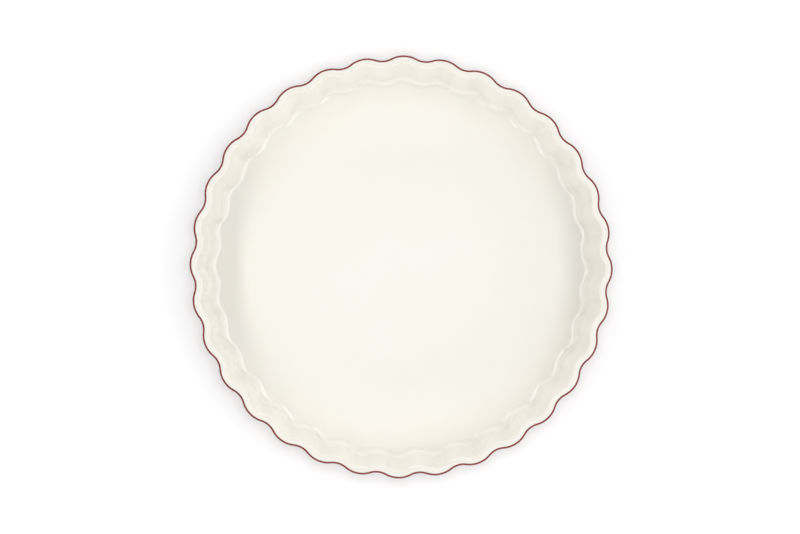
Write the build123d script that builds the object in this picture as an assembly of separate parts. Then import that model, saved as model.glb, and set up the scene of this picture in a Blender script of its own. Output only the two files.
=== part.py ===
from build123d import *
from math import cos, radians, sin, sqrt, tan
import os

# Fluted quiche dish: one pressed stoneware body under three coats of glaze.
# Lengths are millimetres. +Z is up, the origin is the middle of the base that the dish rests on,
# and the crest of one flute points along +X.

# Overall form
rim_diameter = 280.0  # across opposite crests, where the rim is widest
height = 45.0
wall = 5.2  # glazed wall, measured level
wall_draft = 10.0  # degrees that the wall leans out from upright
base_thickness = 7.0  # from the table to the floor inside

# Flutes
flute_count = 32
flute_depth = 3.0  # from a crest to a valley, on either face of the wall
fading_depth_share = 0.85  # of the flute depth, half way down to the round edge of the floor

# Rim: a flat top between two shoulders
shoulder_width = 1.1
shoulder_height = 1.5

# Roundings at the foot of the wall
inside_rounding = 7.0
outside_rounding = 4.0

# Shallow recess that leaves only a band of the base on the table
recess_diameter = 232.0
recess_depth = 1.5

# Coats of glaze
glaze = 0.6

# Worked out from the sizes above
half_wall = wall / 2
flute_pitch = 360 / flute_count
widest_level = height - shoulder_height
rim_radius = rim_diameter / 2 - half_wall - flute_depth / 2


def wall_radius(level):
    """Mean radius of the wall's middle line at a level, from the base up to the shoulders."""
    return rim_radius - (widest_level - level) * tan(radians(wall_draft))


def polar(radius, angle, level):
    """Point at a radius and an angle in degrees about the dish's axis."""
    return Vector(radius * cos(radians(angle)), radius * sin(radians(angle)), level)


def flute_arc(crest, valley):
    """Radius of the equal arcs that touch the crest and valley radii in turn and run into each other."""
    depth = crest - valley
    turn = cos(radians(flute_pitch / 2))
    span = crest**2 + valley**2 - 2 * crest * valley * turn
    reach = depth * (1 + turn)
    return (sqrt(reach**2 + 2 * (1 - turn) * span) - reach) / (2 * (1 - turn))


def fluted(radius, offset, level, depth=flute_depth):
    """Fluted outline: equal arcs along a middle line of the given mean radius, set out by the offset."""
    crest = radius + depth / 2
    valley = radius - depth / 2
    arc = flute_arc(crest, valley)
    edges = []
    for flute in range(flute_count):
        angle = flute * flute_pitch
        valley_before = polar(valley + arc, angle - flute_pitch / 2, level)
        this_crest = polar(crest - arc, angle, level)
        valley_after = polar(valley + arc, angle + flute_pitch / 2, level)
        next_crest = polar(crest - arc, angle + flute_pitch, level)
        rise = this_crest + (valley_before - this_crest).normalized() * (arc + offset)
        fall = this_crest + (valley_after - this_crest).normalized() * (arc + offset)
        next_rise = valley_after + (next_crest - valley_after).normalized() * (arc - offset)
        top = polar(crest + offset, angle, level)
        bottom = polar(valley + offset, angle + flute_pitch / 2, level)
        edges.append(Edge.make_three_point_arc(rise, top, fall))
        edges.append(Edge.make_three_point_arc(fall, bottom, next_rise))
    return Wire(edges)


def round_outline(radius, level):
    """Circle in as many arcs as a fluted outline has, so that one runs into the other."""
    edges = []
    for half_flute in range(2 * flute_count):
        angle = half_flute * flute_pitch / 2
        start = polar(radius, angle - flute_pitch / 4, level)
        end = polar(radius, angle + flute_pitch / 4, level)
        edges.append(Edge.make_three_point_arc(start, polar(radius, angle, level), end))
    return Wire(edges)


def through(*outlines):
    """Solid whose skin runs straight from each outline to the next."""
    return Solid.make_loft(outlines, ruled=True)


class WallFoot:
    """Rounding between a face of the leaning wall and the level face that it runs into."""

    def __init__(self, offset, level, rounding):
        self.offset = offset
        self.rounding = rounding
        self.centre_level = level + rounding
        face_radius = wall_radius(self.centre_level) + offset
        self.edge_radius = face_radius - rounding / cos(radians(wall_draft))

    def outline(self, angle, depth=flute_depth):
        """Outline where the rounding faces down by an angle in degrees."""
        radius = self.edge_radius + self.rounding * cos(radians(angle))
        level = self.centre_level - self.rounding * sin(radians(angle))
        return fluted(radius - self.offset, self.offset, level, depth)

    def top(self):
        return self.outline(wall_draft)

    def half_way(self):
        return self.outline((wall_draft + 90) / 2, flute_depth * fading_depth_share)

    def fluted_edge(self):
        return self.outline(90)

    def round_edge(self):
        return round_outline(self.edge_radius, self.centre_level - self.rounding)


inside_foot = WallFoot(-half_wall, base_thickness, inside_rounding)
outside_foot = WallFoot(half_wall, 0, outside_rounding)

# Outlines that two pieces share, so that a coat lies face to face on the body.
# The two coats of the wall meet in the seam, a line round the outer shoulder's upper edge.
seam = fluted(rim_radius, half_wall - shoulder_width, height)
wall_foot = outside_foot.top()
body_rim = fluted(rim_radius, shoulder_width - half_wall, height - glaze)
body_floor_level = base_thickness - glaze
body_floor = fluted(wall_radius(body_floor_level), glaze - half_wall, body_floor_level)


def stoneware_body():
    """The pressed and fired body, bare on its lower edge and on the band that it stands on."""
    form = through(outside_foot.fluted_edge(), wall_foot, seam, body_rim, body_floor)
    return form - extrude(Circle(recess_diameter / 2), recess_depth + glaze)


def inner_glaze():
    """Cream coat on the floor, the inside of the wall and the top of the rim."""
    return through(
        inside_foot.round_edge(),
        inside_foot.half_way(),
        inside_foot.top(),
        fluted(rim_radius, -half_wall, widest_level),
        fluted(rim_radius, shoulder_width - half_wall, height),
        seam,
        body_rim,
        body_floor,
    )


def outer_glaze():
    """Red coat on the outside of the wall. It thins out downwards and ends at the wall's foot."""
    widest = fluted(rim_radius, half_wall, widest_level)
    return through(wall_foot, widest, seam, wall_foot)


def underside_glaze():
    """Red coat on the ceiling of the recess, clear of the table."""
    return Pos(0, 0, recess_depth) * extrude(Circle(recess_diameter / 2), glaze)


os.makedirs("parts", exist_ok=True)
for make in (stoneware_body, inner_glaze, outer_glaze, underside_glaze):
    piece = make()
    export_step(piece, f"parts/{make.__name__}.step")
    print(make.__name__, f"{piece.volume:.0f} cubic mm")
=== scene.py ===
# %% [markdown]
# # A fluted quiche dish
#
# This is a round baking dish of stoneware with a fluted wall, cream glaze inside and dark red
# glaze outside. A camera hangs above it and looks straight down, as in a catalogue picture.
# The dish could be modelled with a subdivided circle and a lattice, but its wall follows an exact
# rule: equal arcs, pushed out and in, that lean outward and grow weaker on the floor. So each
# skin is written as a formula and turned into a mesh, and the materials carry the life of the
# glaze.
#
# The exact solids of the dish come first, as a fixed frame. They give the size and the places,
# and their box, kept here, is the space that the finished model has to stay inside.

# %% Load the measured solids
from collections import namedtuple
from math import atan, cos, pi, radians, sin, sqrt, tan

import bpy
import numpy as np
from mathutils import Matrix, Vector


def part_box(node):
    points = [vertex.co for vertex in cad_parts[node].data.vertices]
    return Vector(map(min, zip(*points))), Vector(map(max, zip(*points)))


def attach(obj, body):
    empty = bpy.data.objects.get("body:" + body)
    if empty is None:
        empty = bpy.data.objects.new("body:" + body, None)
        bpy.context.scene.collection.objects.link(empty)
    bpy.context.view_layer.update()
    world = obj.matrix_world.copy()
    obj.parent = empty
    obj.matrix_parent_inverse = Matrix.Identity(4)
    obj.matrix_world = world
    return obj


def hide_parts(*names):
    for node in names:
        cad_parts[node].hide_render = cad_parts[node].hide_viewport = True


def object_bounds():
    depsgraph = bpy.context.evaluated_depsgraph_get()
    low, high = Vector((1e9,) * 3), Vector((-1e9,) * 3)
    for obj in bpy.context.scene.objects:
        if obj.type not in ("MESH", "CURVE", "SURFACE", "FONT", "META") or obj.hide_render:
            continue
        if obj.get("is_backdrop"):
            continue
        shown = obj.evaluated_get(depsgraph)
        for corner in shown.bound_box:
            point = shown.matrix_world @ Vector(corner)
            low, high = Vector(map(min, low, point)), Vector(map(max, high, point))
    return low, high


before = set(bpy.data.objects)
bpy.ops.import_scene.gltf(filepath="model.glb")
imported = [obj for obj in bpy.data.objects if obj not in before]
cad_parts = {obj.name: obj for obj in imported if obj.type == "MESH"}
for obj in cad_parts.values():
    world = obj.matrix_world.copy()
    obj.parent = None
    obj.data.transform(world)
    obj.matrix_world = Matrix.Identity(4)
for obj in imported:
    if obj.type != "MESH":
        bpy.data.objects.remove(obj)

solid_low, solid_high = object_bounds()
print("solids:", ", ".join(sorted(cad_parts)))

# %% [markdown]
# Blender measures in metres and a potter in millimetres, so one name turns one into the other.
# The width, the height and the levels of the glaze are read off the solids. What a box can't
# tell, such as how far the wall leans, stands here once as a named size. Typing in every size
# would be quicker, but a size that is read can't drift away from the solids.

# %% Sizes of the dish
MM = 0.001
FLUTES = 32
FLUTE_DEPTH = 3.0 * MM
WALL = 5.2 * MM
WALL_LEAN = radians(9.2)
FLOOR_ROUNDING = 6.5 * MM
BASE_ROUNDING = 4.0 * MM

recess_low, recess_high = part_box("underside_glaze")
HEIGHT = solid_high[2]
GLAZE = recess_high.z - recess_low.z
FLOOR_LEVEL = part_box("inner_glaze")[0].z + GLAZE
RECESS_RADIUS = recess_high.x
RECESS_LEVEL = recess_low.z
HALF_WALL = WALL / 2
RIM_RADIUS = solid_high[0] - HALF_WALL - FLUTE_DEPTH / 2


def in_mm(length):
    """A length in metres as millimetres, rounded for printing."""
    return round(float(length / MM), 2)


print("width", in_mm(2 * solid_high[0]), "mm, height", in_mm(HEIGHT), "mm")
print("floor inside at", in_mm(FLOOR_LEVEL), "mm, coats", in_mm(GLAZE), "mm thick")

# %% [markdown]
# The picture was taken from above with a long lens. The camera hangs a little to the lower left
# of the dish's axis, which shows slightly more of the opposite wall, and the lens is shifted to
# bring the dish back to the middle. Moving the dish would have been simpler, but every piece
# shares one frame with the solids, so the camera does all the moving. The distance sets how
# much of the wall shows, and the lens then gives the right size for that distance. The crests in
# the picture are turned by less than a degree, so the camera is turned as much, and later the
# lamps with it.

# %% The camera above the dish
PHOTO_WIDTH = 800
PHOTO_HEIGHT = 534
RIM_MIDDLE_PIXEL = Vector((401.15, 266.90))
RIM_WIDTH_PIXELS = 423.7
CREST_TURN = radians(0.767)
CAMERA_ABOVE_RIM = 1.6
CAMERA_ASIDE = Vector((-28 * MM, -20 * MM, 0))
SENSOR_WIDTH = 36

pixel_at_rim = 2 * solid_high[0] / RIM_WIDTH_PIXELS
rim_right = RIM_MIDDLE_PIXEL.x - PHOTO_WIDTH / 2
rim_up = PHOTO_HEIGHT / 2 - RIM_MIDDLE_PIXEL.y
camera_up = Vector((0, 0, HEIGHT + CAMERA_ABOVE_RIM))
view_turn = Matrix.Rotation(CREST_TURN, 4, "Z")
camera_data = bpy.data.cameras.new("overhead_camera")
camera_data.sensor_width = SENSOR_WIDTH
camera_data.lens = SENSOR_WIDTH * CAMERA_ABOVE_RIM / (PHOTO_WIDTH * pixel_at_rim)
camera_data.shift_x = (-CAMERA_ASIDE.x / pixel_at_rim - rim_right) / PHOTO_WIDTH
camera_data.shift_y = (-CAMERA_ASIDE.y / pixel_at_rim - rim_up) / PHOTO_WIDTH
camera = bpy.data.objects.new("overhead_camera", camera_data)
camera.matrix_world = view_turn @ Matrix.Translation(CAMERA_ASIDE + camera_up)
bpy.context.scene.collection.objects.link(camera)
bpy.context.scene.camera = camera
print("lens", round(camera_data.lens, 1), "mm")
print("shift", round(camera_data.shift_x, 3), round(camera_data.shift_y, 3))

# %% [markdown]
# ## The flutes
#
# Seen from above, the wall is a ring of arcs that bulge outward at each crest and inward at each
# valley, and run into each other without a corner. The middle line of the wall has equal arcs. A
# face of the wall lies a set distance outside or inside that line, so its crests and valleys
# differ a little: that is what keeps the wall equally thick all round.
#
# A wave from a sine would be shorter to write, but its crests come out too pointed for pressed
# stoneware. The arcs need only the place where one hands over to the next.

# %% One fluted outline
SEGMENTS_PER_FLUTE = 24
PITCH = 2 * pi / FLUTES
around = np.arange(FLUTES * SEGMENTS_PER_FLUTE) * PITCH / SEGMENTS_PER_FLUTE
from_crest = np.abs((around + PITCH / 2) % PITCH - PITCH / 2)


def middle_arc(crest, valley):
    """Radius of the equal arcs that touch the crest and valley radii in turn."""
    half_turn = cos(PITCH / 2)
    span = crest**2 + valley**2 - 2 * crest * valley * half_turn
    reach = (crest - valley) * (1 + half_turn)
    return (sqrt(reach**2 + 2 * (1 - half_turn) * span) - reach) / (2 * (1 - half_turn))


def other_side(longest, side):
    """Third side of right-angled triangles, from the longest side and another."""
    return np.sqrt(np.maximum(longest**2 - side**2, 0))


def fluted(mean, offset, depth):
    """Distance from the axis, all round, of a face that lies an offset outside the middle line."""
    crest = mean + depth / 2
    valley = mean - depth / 2
    arc = middle_arc(crest, valley)
    crest_centre = crest - arc
    valley_centre = valley + arc
    away = np.array([valley_centre * cos(PITCH / 2) - crest_centre, valley_centre * sin(PITCH / 2)])
    handover = np.array([crest_centre, 0]) + away / np.linalg.norm(away) * (arc + offset)
    from_valley = PITCH / 2 - from_crest
    outward = crest_centre * np.cos(from_crest)
    outward = outward + other_side(arc + offset, crest_centre * np.sin(from_crest))
    inward = valley_centre * np.cos(from_valley)
    inward = inward - other_side(arc - offset, valley_centre * np.sin(from_valley))
    return np.where(from_crest <= np.arctan2(handover[1], handover[0]), outward, inward)


rim_outline = fluted(RIM_RADIUS, HALF_WALL, FLUTE_DEPTH)
print("an outline has", len(around), "points")
print("rim from", in_mm(rim_outline.min()), "to", in_mm(rim_outline.max()), "mm from the axis")

# %% [markdown]
# ## From outlines to a skin
#
# A potter's template is a profile turned about the axis. Here the profile is a list of stations,
# and each station is a whole fluted outline: the mean radius of the wall's middle line, how far
# the face lies outside it, the level, and how deep the flutes still are. Blender's Screw
# modifier turns a profile too, but it can't flute it, so the mesh is filled in directly: one ring
# of points for each station, and four-sided faces from ring to ring. A path that begins on the
# axis ends there too, and a point closes each end. Any other path closes on itself like a tyre.
#
# The path runs outward over the top and back underneath, which makes all faces look outward.

# %% Stations and skins
Station = namedtuple("Station", "mean offset level depth", defaults=(FLUTE_DEPTH,))
ON_AXIS = 0.0


def ring(station):
    """The points of one station, all round the axis."""
    radius = fluted(station.mean, station.offset, station.depth)
    level = np.broadcast_to(station.level, radius.shape)
    return np.stack([radius * np.cos(around), radius * np.sin(around), level], axis=1)


def fan(tip, first, second):
    """Three-sided faces from a point on the axis to a ring, given as pairs of its points."""
    return [[tip, *pair] for pair in zip(first.tolist(), second.tolist())]


def skin(name, path):
    """A smooth, closed piece through the stations of a path."""
    capped = path[0].mean == ON_AXIS
    stations = path[1:-1] if capped else path
    points = np.concatenate([ring(station) for station in stations])
    count = len(around)
    here = np.arange(count)
    after = (here + 1) % count
    faces = []
    for row in range(len(stations) - 1 if capped else len(stations)):
        inner = row * count
        outer = (row + 1) % len(stations) * count
        quads = np.stack([inner + here, outer + here, outer + after, inner + after], axis=1)
        faces.extend(quads.tolist())
    if capped:
        start = len(points)
        last = start - count
        points = np.vstack([points, [[0, 0, path[0].level], [0, 0, path[-1].level]]])
        faces.extend(fan(start, here, after))
        faces.extend(fan(start + 1, last + after, last + here))
    mesh = bpy.data.meshes.new(name)
    mesh.from_pydata(points.tolist(), [], faces)
    mesh.polygons.foreach_set("use_smooth", [True] * len(mesh.polygons))
    mesh.update()
    piece = bpy.data.objects.new(name, mesh)
    bpy.context.scene.collection.objects.link(piece)
    print(name, "has", len(stations), "outlines and", len(mesh.polygons), "faces")
    return piece


print("a station holds its", ", ".join(Station._fields))

# %% [markdown]
# The wall leans outward by about nine degrees, so that the dish leaves its mould. Its middle line
# is therefore a little further out with every step up, as far as the shoulders of the rim. A
# straight wall could be scaled wider at the top instead, but that would thicken it too.

# %% The leaning wall
SHOULDER_HEIGHT = 1.5 * MM
SHOULDER_LEVEL = HEIGHT - SHOULDER_HEIGHT


def wall_mean(level):
    """Mean radius of the wall's middle line at a level."""
    return RIM_RADIUS - (SHOULDER_LEVEL - level) * tan(WALL_LEAN)


def wall_face(offset, low, high, rows):
    """Stations up a face of the wall, between two levels and without them."""
    levels = np.linspace(low, high, rows + 2)[1:-1]
    return [Station(wall_mean(level), offset, level) for level in levels]


print("wall middle", in_mm(wall_mean(0)), "mm from the axis at the table")
print("wall middle", in_mm(RIM_RADIUS), "mm from the axis at the rim")

# %% [markdown]
# Where the wall meets the floor, a rounding of a few millimetres lets a knife lift the pastry out
# cleanly. A Bevel modifier could round a sharp corner, but it would keep the flutes equally deep.
# Here they are full at the top of the rounding and a little weaker where it runs out on the
# floor, so the bright line that the lamps draw along it waves less than the rim does. The base has
# a tighter rounding outside, and there the flutes run right down to the table.

# %% Roundings at the wall's foot
FADED_SHARE = 0.3


def foot_rounding(offset, level, rounding, fading, steps):
    """Stations round the corner from a level face up to a face of the wall."""
    centre_level = level + rounding
    edge = wall_mean(centre_level) + offset - rounding / cos(WALL_LEAN)
    stations = []
    for way in np.linspace(1, 0, steps):
        dip = WALL_LEAN + way * (pi / 2 - WALL_LEAN)
        radius = edge + rounding * cos(dip)
        depth = FLUTE_DEPTH * (1 - fading * way**2)
        stations.append(Station(radius - offset, offset, centre_level - rounding * sin(dip), depth))
    return stations


floor_corner = foot_rounding(-HALF_WALL, FLOOR_LEVEL, FLOOR_ROUNDING, FADED_SHARE, steps=25)
floor_edge = floor_corner[0].mean + floor_corner[0].offset
print("level floor out to", in_mm(floor_edge), "mm from the axis")

# %% [markdown]
# The rim has a level crown between two shoulders, a tight one inside and a softer one outside.
# Each shoulder is a quarter of an ellipse that starts where it touches the leaning face of the
# wall, so that light runs over it without a break. A plain quarter circle would leave a fine
# crease there. The outer shoulder stays within the widest size of the dish.

# %% Shoulders of the rim
Shoulder = namedtuple("Shoulder", "top middle width height")
OUTER_SHOULDER_WIDTH = 1.9 * MM
INNER_SHOULDER_WIDTH = 1.1 * MM
INNER_SHOULDER_HEIGHT = 1.1 * MM


def touching_angle(width, height):
    """Angle on a shoulder's ellipse where it touches the leaning face of the wall."""
    return atan(height * tan(WALL_LEAN) / width)


def round_over(shoulder, start, stop, steps):
    """Stations along a shoulder, from one angle above the level to another."""
    stations = []
    for angle in np.linspace(start, stop, steps):
        level = shoulder.top - shoulder.height * (1 - sin(angle))
        offset = shoulder.middle + shoulder.width * cos(angle)
        stations.append(Station(RIM_RADIUS, offset, level))
    return stations


outer_lean = touching_angle(OUTER_SHOULDER_WIDTH, SHOULDER_HEIGHT)
inner_lean = touching_angle(INNER_SHOULDER_WIDTH, INNER_SHOULDER_HEIGHT)
outer_middle = HALF_WALL - OUTER_SHOULDER_WIDTH
inner_face = (SHOULDER_HEIGHT - INNER_SHOULDER_HEIGHT) * tan(WALL_LEAN) - HALF_WALL
inner_middle = inner_face + INNER_SHOULDER_WIDTH / cos(inner_lean)
outer_shoulder = Shoulder(HEIGHT, outer_middle, OUTER_SHOULDER_WIDTH, SHOULDER_HEIGHT)
inner_shoulder = Shoulder(HEIGHT, inner_middle, INNER_SHOULDER_WIDTH, INNER_SHOULDER_HEIGHT)
print("crown of the rim", in_mm(outer_middle - inner_middle), "mm wide")

# %% [markdown]
# ## The two coats of the wall
#
# The red coat is dipped first and the cream one poured over it, so the cream ends on the red in a
# line round the outer shoulder. A fired glaze never ends in a knife edge: surface tension draws
# it into a small round lip. Drawing that lip as real geometry, a tenth of a millimetre high,
# catches the light as the real one does, and it also keeps the smooth shading of each coat from
# bleeding into its hidden back.
#
# The beds are the surfaces that the coats lie on. Body and coat share them, face to face. The red
# reaches a third of a millimetre under the cream, which is the tuck, and has thinned to a quarter
# where it ends at the foot.

# %% The seam and the beds under the coats
LIP = 0.1 * MM
SEAM_INSET = 1.3 * MM
SEAM_OFFSET = HALF_WALL - SEAM_INSET
TUCK = 0.35 * MM
BED_SHOULDER = 1.2 * MM
FOOT_COAT = 0.25 * MM
BASE_RISE = BASE_ROUNDING * (1 - sin(WALL_LEAN))
FLOOR_BED = FLOOR_LEVEL - GLAZE
RECESS_BED = RECESS_LEVEL + GLAZE


def on_outer_shoulder(offset):
    """Angle on the outer shoulder's ellipse at an offset from the wall's middle."""
    return float(np.arccos((offset - outer_middle) / OUTER_SHOULDER_WIDTH))


red_shoulder = outer_shoulder._replace(top=HEIGHT - LIP, height=SHOULDER_HEIGHT - LIP)
seam_angle = on_outer_shoulder(SEAM_OFFSET)
tuck_angle = on_outer_shoulder(SEAM_OFFSET - TUCK)
tuck = round_over(red_shoulder, tuck_angle, seam_angle, steps=3)
inner_bed = [
    Station(ON_AXIS, 0, FLOOR_BED),
    Station(floor_edge / 2, 0, FLOOR_BED, 0),
    *foot_rounding(GLAZE - HALF_WALL, FLOOR_BED, FLOOR_ROUNDING + GLAZE, FADED_SHARE, steps=13),
    Station(wall_mean(SHOULDER_LEVEL), GLAZE - HALF_WALL, SHOULDER_LEVEL),
    Station(RIM_RADIUS, -BED_SHOULDER, HEIGHT - 2 * GLAZE),
    Station(RIM_RADIUS, outer_middle, HEIGHT - 2 * GLAZE),
]
outer_bed = [
    Station(RIM_RADIUS, HALF_WALL - 2 * GLAZE, SHOULDER_LEVEL - GLAZE),
    Station(wall_mean(BASE_RISE + GLAZE), HALF_WALL - FOOT_COAT, BASE_RISE + GLAZE),
]
print("seam", in_mm(tuck[-1].level), "mm above the table")

# %% [markdown]
# The cream coat covers the floor, climbs the corner and the inside of the wall, and goes over the
# crown to its lip. The floor could be one large flat face, but a few rings give the smooth
# shading even steps and let the last flutes fade out on the way in.

# %% Cream glaze over the inside and the rim
RING_SHARES = (0.02, 0.25, 0.5, 0.7, 0.85, 0.94, 0.985)
FLUTE_FADING_POWER = 8


def quarter_turn(steps):
    """Angles from 0 to a right angle."""
    return np.linspace(0, pi / 2, steps)


def lip_end(end):
    """Stations round a lip that turns down from the end of a coat."""
    turned = []
    for angle in quarter_turn(steps=5)[1:]:
        offset = end.offset + LIP * sin(angle)
        turned.append(end._replace(offset=offset, level=end.level - LIP * (1 - cos(angle))))
    return turned


def cream_coat():
    """The poured coat of cream glaze."""
    path = [Station(ON_AXIS, 0, FLOOR_LEVEL)]
    for share in RING_SHARES:
        depth = share**FLUTE_FADING_POWER * floor_corner[0].depth
        path.append(Station(share * floor_edge, 0, FLOOR_LEVEL, depth))
    path += floor_corner
    wall_top = HEIGHT - INNER_SHOULDER_HEIGHT
    path += wall_face(-HALF_WALL, floor_corner[-1].level, wall_top, rows=9)
    path += round_over(inner_shoulder, pi - inner_lean, pi / 2, steps=15)
    crown = round_over(outer_shoulder, pi / 2, seam_angle, steps=9)
    path += crown[:-1]
    path.append(crown[-1]._replace(offset=SEAM_OFFSET - LIP))
    path += lip_end(path[-1])
    path += tuck[::-1]
    path += inner_bed[::-1]
    return skin("cream_coat", path)


cream = cream_coat()

# %% [markdown]
# The red coat starts tucked under the cream, rounds the shoulder, and runs down the flutes to the
# glaze line a few millimetres above the table. That line is wiped with a sponge before firing, so
# that the dish doesn't stick to the kiln shelf, and a sponge never leaves a perfectly level edge.
# A sculpting brush could draw it by hand. Three slow waves of different lengths, none higher than
# a tenth of a millimetre, are enough to show that hand and come out the same each time.

# %% Red glaze outside
Wave = namedtuple("Wave", "turns height start")
GLAZE_LINE_WAVES = (Wave(5, 0.10 * MM, 0.4), Wave(11, 0.07 * MM, 2.1), Wave(29, 0.05 * MM, 4.0))


def glaze_line():
    """Level of the red coat's lower edge, all round."""
    level = np.full(len(around), BASE_RISE + LIP)
    for wave in GLAZE_LINE_WAVES:
        level = level + wave.height * np.sin(wave.turns * around + wave.start)
    return level


def red_coat():
    """The dipped coat of red glaze."""
    path = list(tuck)
    path += round_over(red_shoulder, seam_angle, -outer_lean, steps=17)[1:]
    wall_top = SHOULDER_LEVEL - SHOULDER_HEIGHT / 2
    path += wall_face(HALF_WALL, BASE_RISE + 2 * GLAZE, wall_top, rows=10)[::-1]
    edge = glaze_line()
    foot = wall_mean(BASE_RISE)
    for angle in quarter_turn(steps=6):
        offset = HALF_WALL - FOOT_COAT * (1 - cos(angle))
        path.append(Station(foot, offset, edge + FOOT_COAT * (1 - sin(angle))))
    path += outer_bed[::-1]
    return skin("red_coat", path)


red = red_coat()

# %% [markdown]
# ## The body
#
# Under the glaze is one pressed piece of stoneware. Most of it is hidden, but it shows bare on
# the rounded lower edge and on the band that the dish stands on, so those have their own fine
# roundings. Inside the band the base is hollowed by a millimetre or two: a full disc would rock on
# any grain of sand, a band doesn't. A Boolean modifier could cut that hollow, but a path that
# simply turns up into it leaves a cleaner mesh.

# %% The stoneware body
BAND_ROUNDING = 0.5 * MM


def band_edge():
    """Stations round the band's inner edge, from the table up into the recess."""
    stations = []
    for angle in quarter_turn(steps=6):
        radius = RECESS_RADIUS + BAND_ROUNDING * (1 - sin(angle))
        stations.append(Station(radius, 0, BAND_ROUNDING * (1 - cos(angle)), 0))
    return stations


def stoneware():
    """The pressed body, from its hidden beds to the bare foot."""
    path = list(inner_bed)
    path += outer_bed
    foot = foot_rounding(HALF_WALL - FOOT_COAT, 0, BASE_ROUNDING, fading=0, steps=13)
    path += foot[::-1]
    band_middle = (foot[0].mean + foot[0].offset + RECESS_RADIUS) / 2
    path.append(Station(band_middle, 0, 0, FLUTE_DEPTH / 2))
    path += band_edge()
    path.append(Station(RECESS_RADIUS, 0, RECESS_BED, 0))
    path.append(Station(RECESS_RADIUS / 2, 0, RECESS_BED, 0))
    path.append(Station(ON_AXIS, 0, RECESS_BED))
    return skin("stoneware", path)


body = stoneware()

# %% [markdown]
# The recess is glazed red as well, clear of the table. Glaze creeps a little along a wall that it
# meets, so its edge is a small hollow curve rather than a corner. A flat disc would fill the recess
# too, but it would meet the wall in a hard line that no liquid leaves.

# %% Red glaze in the recess
CREEP = 0.6 * MM


def recess_coat():
    """The coat on the ceiling of the recess."""
    path = [Station(ON_AXIS, 0, RECESS_BED)]
    path.append(Station(RECESS_RADIUS / 2, 0, RECESS_BED, 0))
    path.append(Station(RECESS_RADIUS, 0, RECESS_BED, 0))
    for angle in quarter_turn(steps=7):
        radius = RECESS_RADIUS - CREEP * (1 - cos(angle))
        path.append(Station(radius, 0, RECESS_LEVEL - CREEP * (1 - sin(angle)), 0))
    for share in RING_SHARES[-2::-1]:
        path.append(Station(share * RECESS_RADIUS, 0, RECESS_LEVEL, 0))
    path.append(Station(ON_AXIS, 0, RECESS_LEVEL))
    return skin("recess_coat", path)


recess = recess_coat()

# %% [markdown]
# ## A way to write materials
#
# A material is a graph of nodes, and clicking dozens of them together is slow to read back. Here
# a small class wraps an output socket, so that Python's own signs add the Math nodes: one minus a
# mask can be written just so.

# %% Sums of sockets
def socket_named(sockets, key):
    """The socket at a place, or the first with that identifier or name."""
    if isinstance(key, int):
        return sockets[key]
    return next(socket for socket in sockets if key in (socket.identifier, socket.name))


class Signal:
    """An output socket that can stand in a sum."""

    def __init__(self, graph, socket):
        self.graph = graph
        self.socket = socket

    def out(self, key):
        """Another output of the same node."""
        return Signal(self.graph, socket_named(self.socket.node.outputs, key))

    def __add__(self, other):
        return self.graph.node("Math", {"operation": "ADD"}, {0: self, 1: other})

    def __sub__(self, other):
        return self.graph.node("Math", {"operation": "SUBTRACT"}, {0: self, 1: other})

    def __rsub__(self, other):
        return self.graph.node("Math", {"operation": "SUBTRACT"}, {0: other, 1: self})

    def __mul__(self, other):
        return self.graph.node("Math", {"operation": "MULTIPLY"}, {0: self, 1: other})

    __radd__ = __add__
    __rmul__ = __mul__


print("sums are written with", Signal.__name__)

# %% [markdown]
# Every other node comes from one method, which takes the node's type, its settings and what goes
# into its sockets. The settings come first, because some of them change which sockets there are.

# %% Nodes from one method
class Graph:
    """The nodes of a material, or of the world, put together in Python."""

    def __init__(self, owner):
        owner.use_nodes = True
        self.owner = owner
        self.tree = owner.node_tree
        self.tree.nodes.clear()

    def node(self, kind, settings=None, sockets=None):
        """A new node: its settings first, then the values or signals of its sockets."""
        made = self.tree.nodes.new("ShaderNode" + kind)
        for name, value in (settings or {}).items():
            setattr(made, name, value)
        for key, value in (sockets or {}).items():
            socket = socket_named(made.inputs, key)
            if isinstance(value, Signal):
                self.tree.links.new(value.socket, socket)
            else:
                socket.default_value = value
        return Signal(self, made.outputs[0]) if made.outputs else None

    def surface(self, shader, kind="OutputMaterial"):
        """Ends the nodes in a shader."""
        self.node(kind, {}, {"Surface": shader})
        print(self.owner.name, "has", len(self.tree.nodes), "nodes")
        return self.owner


print("nodes are added by", Graph.node.__qualname__)

# %% [markdown]
# The finishes of the dish share a few more needs: noise with features of a size in metres, a soft
# step between two values, patches from both, and a blend of two colours. All of them read the
# place on the dish from its own coordinates. A texture that is unwrapped onto the skins would need
# seams, and a round dish has no good place for one.

# %% What the finishes share
class Finish(Graph):
    """The nodes of a material, read from the places on its object."""

    def __init__(self, owner):
        super().__init__(owner)
        self.place = self.node("TexCoord").out("Object")

    def noise(self, size, detail, place=None):
        """Noise from 0 to 1 with features of about a size, in metres."""
        sockets = {"Vector": place or self.place, "Scale": 1 / size, "Detail": detail}
        return self.node("TexNoise", {"noise_dimensions": "3D"}, sockets).out("Fac")

    def rise(self, value, low, high):
        """A soft step from 0 at the low value to 1 at the high one."""
        sockets = {"Value": value, "From Min": low, "From Max": high}
        return self.node("MapRange", {"interpolation_type": "SMOOTHSTEP"}, sockets)

    def clouds(self, size, detail, low, high, place=None):
        """Noise as patches: 0 where it is at the low value, 1 where it is at the high one."""
        return self.rise(self.noise(size, detail, place), low, high)

    def blend(self, share, first, second):
        """One colour that turns into another as the share goes from 0 to 1."""
        sockets = {"Factor_Float": share, "A_Color": first, "B_Color": second}
        return self.node("Mix", {"data_type": "RGBA"}, sockets).out("Result_Color")


print("each", Finish.__name__, "is also a", Graph.__name__)

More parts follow.
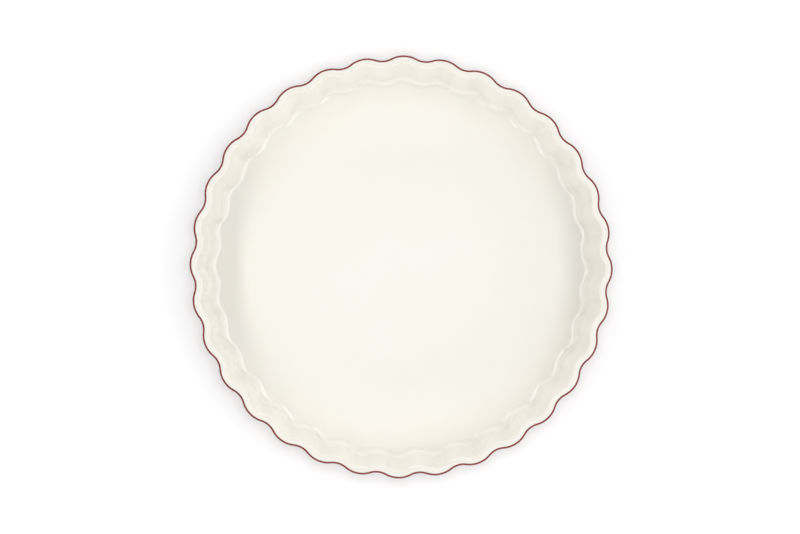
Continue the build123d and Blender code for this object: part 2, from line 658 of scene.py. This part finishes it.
# %% [markdown]
# Many marks on the dish follow its flutes: glaze gathers in a hollow and thins on a ridge. The
# angle round the axis, times the number of flutes, gives a cosine that is 1 on every crest and
# minus 1 in every valley, and the height above the table tells floor, wall and rim apart. Both
# come from the object's own coordinates, which stay put from any view. Painting them on the mesh
# as colours would work too, but only as finely as the mesh has points.

# %% Reading the flutes inside a material
def dish_places(finish):
    """Level above the table, and a wave that is 1 on the crests and -1 in the valleys."""
    level = finish.node("SeparateXYZ", {}, {0: finish.place}).out("Z")
    angle = finish.node("Math", {"operation": "ARCTAN2"}, {0: level.out("Y"), 1: level.out("X")})
    crest = finish.node("Math", {"operation": "COSINE"}, {0: angle * FLUTES})
    return level, crest


print("the wave in the materials has", FLUTES, "crests")

# %% [markdown]
# ## The gloss of a glaze
#
# Under a lamp the surface of a glaze is never a perfect mirror: it swells slowly, as a poured
# liquid does, and has a fine skin with pits, like that of an orange. Modelling that in the mesh
# would take millions of points. A Bump node does it from noise, with swells of a few hundredths
# of a millimetre and a skin of a few thousandths. The limits of the pits are the other way round,
# high before low, which picks the lowest places of the noise.

# %% A glossy surface
Gloss = namedtuple("Gloss", "ior swell patch smoothest spread")
SWELL_SIZE = 34 * MM
SKIN_SIZE = 2.6 * MM
SKIN_HEIGHT = 0.003 * MM
PIT_SIZE = 1.3 * MM
PIT_DEPTH = 0.8


def glazed_surface(finish, colour, gloss):
    """A glossy glaze with slow swells and a fine skin."""
    slow = finish.noise(SWELL_SIZE, detail=1.0)
    fine = finish.noise(SKIN_SIZE, detail=1.5)
    pits = finish.clouds(PIT_SIZE, detail=0.0, low=0.24, high=0.16)
    height = slow * (gloss.swell / SKIN_HEIGHT) + fine - pits * PIT_DEPTH
    bump = finish.node("Bump", {}, {"Distance": SKIN_HEIGHT, "Height": height})
    roughness = finish.noise(gloss.patch, detail=2.0) * gloss.spread + gloss.smoothest
    sockets = {"Base Color": colour, "Roughness": roughness, "IOR": gloss.ior, "Normal": bump}
    return finish.surface(finish.node("BsdfPrincipled", {}, sockets))


print("a gloss holds its", ", ".join(Gloss._fields))

# %% [markdown]
# ## Cream glaze
#
# The inside has a thick, quiet gloss glaze. It is a touch warmer where it lies deeper, in the
# hollows behind the crests. The corner of the floor gets that deeper colour too, partly as pooled
# glaze and partly as painted shade. Over the crown of the rim the glaze is thinner and the clay
# dulls it a little, and the crown is darkened further as painted shade. A single colour with a
# gloss would read as plastic, so masks for those places blend three creams. Each share says how
# much of its mask reaches the colour.
# The index of refraction is higher than a real glaze's of about 1.5, because soft lamps would
# otherwise draw weaker highlights than the picture has.

# %% The cream finish
CREAM = (0.900, 0.878, 0.815, 1)
# The deeper cream is pooled glaze in the hollows and clouds, and also painted shade in the corner
# of the floor.
DEEP_AND_SHADED_CREAM = (0.868, 0.829, 0.727, 1)
# The thin cream is thin glaze over the crown, and it also darkens the crown as painted shade.
THIN_AND_SHADED_CREAM = (0.835, 0.805, 0.735, 1)
CREAM_GLOSS = Gloss(ior=1.9, swell=0.02 * MM, patch=9 * MM, smoothest=0.035, spread=0.04)
CORNER_LEVELS = (FLOOR_LEVEL + 0.3 * MM, FLOOR_LEVEL + 7 * MM)
OFF_FLOOR_LEVELS = (FLOOR_LEVEL + 0.02 * MM, FLOOR_LEVEL + 0.9 * MM)
CROWN_LEVELS = (HEIGHT - 0.9 * MM, HEIGHT - 0.2 * MM)
CORNER_POOL_AND_SHADE_SHARE = 0.25
HOLLOW_SHARE = 0.12
CREAM_CLOUD_SHARE = 0.12
CROWN_THIN_AND_SHADE_SHARE = 0.85


def cream_finish():
    """Cream gloss glaze."""
    finish = Finish(bpy.data.materials.new("cream_gloss_glaze"))
    level, crest = dish_places(finish)
    off_floor = finish.rise(level, *OFF_FLOOR_LEVELS)
    # The corner mask darkens the rounding and the foot of the wall: partly pooled glaze, partly
    # painted shade.
    corner = (1 - finish.rise(level, *CORNER_LEVELS)) * off_floor
    hollow = finish.rise(crest, 0.0, 1.0) * off_floor
    cloud = finish.clouds(45 * MM, detail=3.0, low=0.35, high=0.7)
    depth = corner * CORNER_POOL_AND_SHADE_SHARE + hollow * HOLLOW_SHARE + cloud * CREAM_CLOUD_SHARE
    # The crown mask darkens the level top of the rim: partly thin glaze, partly painted shade.
    crown = finish.rise(level, *CROWN_LEVELS)
    colour = finish.blend(depth, CREAM, DEEP_AND_SHADED_CREAM)
    colour = finish.blend(crown * CROWN_THIN_AND_SHADE_SHARE, colour, THIN_AND_SHADED_CREAM)
    return glazed_surface(finish, colour, CREAM_GLOSS)


cream_material = cream_finish()

# %% [markdown]
# ## Red glaze
#
# The outside has a deep cherry red. Where it is thick it is nearly brown, and where it breaks over
# an edge it lets the clay through and turns lighter and duller. It also runs down a little in the
# kiln, so its clouds are drawn out from top to bottom. Noise gets that look when its coordinates
# are squeezed along the height before it is evaluated. In the recess there are no flutes, so the
# darker valleys are masked to the wall.

# %% The red finish
CHERRY = (0.200, 0.009, 0.007, 1)
DEEP_CHERRY = (0.145, 0.005, 0.004, 1)
BROKEN_CHERRY = (0.215, 0.018, 0.013, 1)
RED_GLOSS = Gloss(ior=1.5, swell=0.025 * MM, patch=7 * MM, smoothest=0.06, spread=0.06)
RUN_SQUEEZE = (1, 1, 0.3)
POOL_LEVELS = (BASE_RISE, BASE_RISE + 4 * MM)
WALL_LEVELS = (RECESS_BED, BASE_RISE)
EDGE_LEVELS = (SHOULDER_LEVEL + 0.2 * MM, HEIGHT - 0.2 * MM)
RUN_SHARE = 0.35
RED_CLOUD_SHARE = 0.25
POOL_SHARE = 0.4
VALLEY_SHARE = 0.2
EDGE_SHARE = 0.3
WORN_SHARE = 0.5


def red_finish():
    """Dark red gloss glaze."""
    finish = Finish(bpy.data.materials.new("cherry_gloss_glaze"))
    level, crest = dish_places(finish)
    drawn_out = finish.node("Mapping", {}, {"Vector": finish.place, "Scale": RUN_SQUEEZE})
    runs = finish.clouds(6 * MM, detail=3.0, low=0.35, high=0.75, place=drawn_out)
    cloud = finish.clouds(38 * MM, detail=2.0, low=0.3, high=0.7)
    pooled = 1 - finish.rise(level, *POOL_LEVELS)
    valley = finish.rise(0 - crest, 0.3, 1.0) * finish.rise(level, *WALL_LEVELS)
    depth = runs * RUN_SHARE + cloud * RED_CLOUD_SHARE + pooled * POOL_SHARE + valley * VALLEY_SHARE
    worn = finish.clouds(1.1 * MM, detail=2.0, low=0.3, high=0.7)
    edge = finish.rise(level, *EDGE_LEVELS) * (worn * WORN_SHARE + EDGE_SHARE)
    colour = finish.blend(depth, CHERRY, DEEP_CHERRY)
    colour = finish.blend(edge, colour, BROKEN_CHERRY)
    return glazed_surface(finish, colour, RED_GLOSS)


red_material = red_finish()

# %% [markdown]
# ## Bare stoneware
#
# The foot is unglazed and matt, the colour of a ginger biscuit, with dark specks of iron and a
# grain that a fingernail can feel. The specks could be thousands of tiny pieces strewn over the
# clay. Cells from a Voronoi texture are lighter: each cell has a random value, and only the few
# cells above a limit are allowed to darken at their middle.

# %% The stoneware finish
BISCUIT = (0.560, 0.420, 0.290, 1)
PALE_BISCUIT = (0.640, 0.510, 0.375, 1)
IRON = (0.120, 0.062, 0.035, 1)
GRAIN_SIZE = 0.5 * MM
GRAIN_HEIGHT = 0.05 * MM
CELL_SIZE = 1.7 * MM
CHOSEN_CELLS = (0.78, 0.8)
SPECK_EDGE = (0.1, 0.22)
PATCH_SHARE = 0.7
GRAIN_SHARE = 0.3
SPECK_SHARE = 0.8
SPECK_DEPTH = 0.4
SMOOTHEST_GRAIN = 0.72
GRAIN_SPREAD = 0.2


def stoneware_finish():
    """Unglazed stoneware."""
    finish = Finish(bpy.data.materials.new("bare_stoneware_grain"))
    patch = finish.clouds(16 * MM, detail=4.0, low=0.3, high=0.7)
    grain = finish.noise(GRAIN_SIZE, detail=3.0)
    cells = finish.node("TexVoronoi", {}, {"Vector": finish.place, "Scale": 1 / CELL_SIZE})
    pick = finish.node("SeparateColor", {}, {0: cells.out("Color")}).out("Red")
    middle = 1 - finish.rise(cells.out("Distance"), *SPECK_EDGE)
    speck = finish.rise(pick, *CHOSEN_CELLS) * middle
    colour = finish.blend(patch * PATCH_SHARE, BISCUIT, PALE_BISCUIT)
    colour = finish.blend(grain * GRAIN_SHARE, colour, BISCUIT)
    colour = finish.blend(speck * SPECK_SHARE, colour, IRON)
    height = grain - speck * SPECK_DEPTH
    bump = finish.node("Bump", {}, {"Distance": GRAIN_HEIGHT, "Height": height})
    roughness = grain * GRAIN_SPREAD + SMOOTHEST_GRAIN
    sockets = {"Base Color": colour, "Roughness": roughness, "Normal": bump}
    return finish.surface(finish.node("BsdfPrincipled", {}, sockets))


stoneware_material = stoneware_finish()

# %% [markdown]
# ## Every piece in its place
#
# Each skin takes the place of one solid, and rides on the dish's only body. The solids could be
# shown instead, with better materials, but their roundings are plain bevels.

# %% Dress the solids
DRESSED = (
    (cream, "inner_glaze", "cream_glaze", cream_material),
    (red, "outer_glaze", "red_glaze", red_material),
    (body, "stoneware_body", "bare_stoneware", stoneware_material),
    (recess, "underside_glaze", "red_glaze", red_material),
)
for piece, node, slot, material in DRESSED:
    piece.data.materials.append(material)
    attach(piece, "root")
    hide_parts(node)
print("dressed", len(DRESSED), "solids")

# %% [markdown]
# ## Table and light
#
# The picture has a white ground with a soft grey shadow close to the dish. The table is a matt
# white that takes the shadow, with a little light of its own that only the camera sees, so the
# ground turns to white a short way from the dish and the dish isn't lit by it. A brighter lamp
# would do the same, but would also bleach the cream. Close to the rim the glow is a little weaker,
# which adds a painted shadow that follows the flutes on top of the real one. The glow is slightly
# cool, since the red wall warms the table. Far out, where the lamps give less light, it is
# stronger, for views from the side.
#
# The table is open from below, so that the foot and the recess can be looked at as well. A patch
# of it, hidden under the dish, glows for all rays and lights them, as a hand lamp would.

# %% White table
TABLE_SIZE = 4.0
TABLE_DROP = 0.1 * MM
TABLE_WHITE = (0.8, 0.8, 0.8, 1)
# Beside the rim the camera's glow is lower: a painted shadow on the table.
GLOW_IN_PAINTED_SHADOW = 0.235
FAR_GLOW = 0.355
HORIZON_GLOW = 0.7
PATCH_GLOW = 0.7
COOL_TINT = (0.93, 1, 1)
PAINTED_SHADOW_RADII = (RIM_RADIUS + 5.5 * MM, RIM_RADIUS + 14 * MM)
HORIZON_RADII = (300 * MM, 900 * MM)
PATCH_RADII = (RECESS_RADIUS + 11 * MM, RECESS_RADIUS + 17 * MM)


def table_finish():
    """Matt white that glows for the camera, and under the dish for all rays."""
    finish = Finish(bpy.data.materials.new("white_table"))
    matt = finish.node("BsdfDiffuse", {}, {"Color": TABLE_WHITE})
    away = finish.node("VectorMath", {"operation": "LENGTH"}, {0: finish.place}).out("Value")
    crest = dish_places(finish)[1]
    without_flutes = away - crest * (FLUTE_DEPTH / 2)
    # A painted shadow: the glow is lower close to the rim and follows the flutes.
    clear_of_painted_shadow = finish.rise(without_flutes, *PAINTED_SHADOW_RADII)
    horizon = finish.rise(away, *HORIZON_RADII)
    glow = clear_of_painted_shadow * (FAR_GLOW - GLOW_IN_PAINTED_SHADOW) + horizon * HORIZON_GLOW + GLOW_IN_PAINTED_SHADOW
    for_camera = glow * finish.node("LightPath").out("Is Camera Ray")
    under = 1 - finish.rise(without_flutes, *PATCH_RADII)
    light = for_camera + under * PATCH_GLOW
    tint = finish.node("VectorMath", {"operation": "MULTIPLY"}, {0: light, 1: COOL_TINT})
    glowing = finish.node("Emission", {}, {"Color": tint, "Strength": 1.0})
    above = finish.node("AddShader", {}, {0: matt, 1: glowing})
    below = finish.node("BsdfTransparent")
    behind = finish.node("NewGeometry").out("Backfacing")
    return finish.surface(finish.node("MixShader", {}, {0: behind, 1: above, 2: below}))


half = TABLE_SIZE / 2
corners = [(-half, -half, 0), (half, -half, 0), (half, half, 0), (-half, half, 0)]
table_mesh = bpy.data.meshes.new("table")
table_mesh.from_pydata(corners, [], [(0, 1, 2, 3)])
table_mesh.materials.append(table_finish())
table = bpy.data.objects.new("table", table_mesh)
table.location.z = -TABLE_DROP
bpy.context.scene.collection.objects.link(table)
table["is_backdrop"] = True

# %% [markdown]
# Two softboxes hang high at the left and right. They draw the bright line along the corner of the
# floor, which needs lamps that are bright and not very tall. Two fainter ones stand lower on the
# same sides and light the wall, two more stand in front and behind, and a large one hangs
# overhead. One large lamp would be simpler, but the line would come out broad and faint.
#
# Each is placed by its direction from the dish in degrees and its distance and size in metres. Its
# brightness is given per area, so that its size can be changed without changing how bright it
# looks in the glaze.

# %% Softboxes
Softbox = namedtuple("Softbox", "name azimuth elevation distance width height brightness")
SOFTBOXES = (
    Softbox("right_softbox", 0, 59, 1.6, 2.2, 0.44, 2.9),
    Softbox("right_low_softbox", 0, 27, 1.6, 1.6, 0.90, 1.30),
    Softbox("left_softbox", 180, 53, 1.6, 2.2, 0.27, 5.0),
    Softbox("left_low_softbox", 180, 23, 1.6, 1.6, 0.75, 0.75),
    Softbox("near_softbox", 270, 17, 1.6, 1.9, 0.80, 2.0),
    Softbox("far_softbox", 90, 17, 1.6, 1.9, 0.80, 1.95),
    Softbox("overhead_softbox", 90, 90, 2.4, 2.2, 2.2, 0.47),
)


def hang(box):
    """Hangs the rectangular lamp of a softbox and turns it toward the dish."""
    data = bpy.data.lights.new(box.name, "AREA")
    data.shape = "RECTANGLE"
    data.size = box.width
    data.size_y = box.height
    data.energy = box.brightness * pi * box.width * box.height
    turn = radians(box.azimuth)
    lift = radians(box.elevation)
    place = box.distance * Vector((cos(turn) * cos(lift), sin(turn) * cos(lift), sin(lift)))
    aim = (-place).to_track_quat("-Z", "Y").to_matrix().to_4x4()
    lamp = bpy.data.objects.new(box.name, data)
    lamp.matrix_world = view_turn @ Matrix.Translation(place) @ aim
    bpy.context.scene.collection.objects.link(lamp)
    print(box.name, round(data.energy, 1), "W")


for softbox in SOFTBOXES:
    hang(softbox)

# %% [markdown]
# Dim surroundings fill the rest of the light. The camera sees them plain white, also through
# anything clear. A white backdrop behind the table would need to be lit, and would show its edge.

# %% Surroundings
SURROUND_LIGHT = 0.26
WHITE = (1, 1, 1, 1)

surround = Graph(bpy.data.worlds.new("white_surroundings"))
rays = surround.node("LightPath")
seen = rays.out("Is Camera Ray") + rays.out("Is Transmission Ray")
strength = seen * (1 - SURROUND_LIGHT) + SURROUND_LIGHT
backdrop = surround.node("Background", {}, {"Color": WHITE, "Strength": strength})
bpy.context.scene.world = surround.surface(backdrop, "OutputWorld")

# %% [markdown]
# The display stays plain, so that a colour looks as it was written. A film look would be softer in
# the highlights, but would turn the white ground grey.

# %% Plain display
bpy.context.scene.view_settings.view_transform = "Standard"
print("display:", bpy.context.scene.view_settings.view_transform)

# %% [markdown]
# Both boxes are printed, the solids' and the dressed dish's, so that they can be set side by side.
# The dressed dish must be no larger than its solids.

# %% Print the boxes and finish
dressed_low, dressed_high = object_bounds()
sizes = {
    "solids": [list(solid_low), list(solid_high)],
    "dressed": [list(dressed_low), list(dressed_high)],
}
for name, (low, high) in sizes.items():
    print(name, [in_mm(value) for value in low + high])
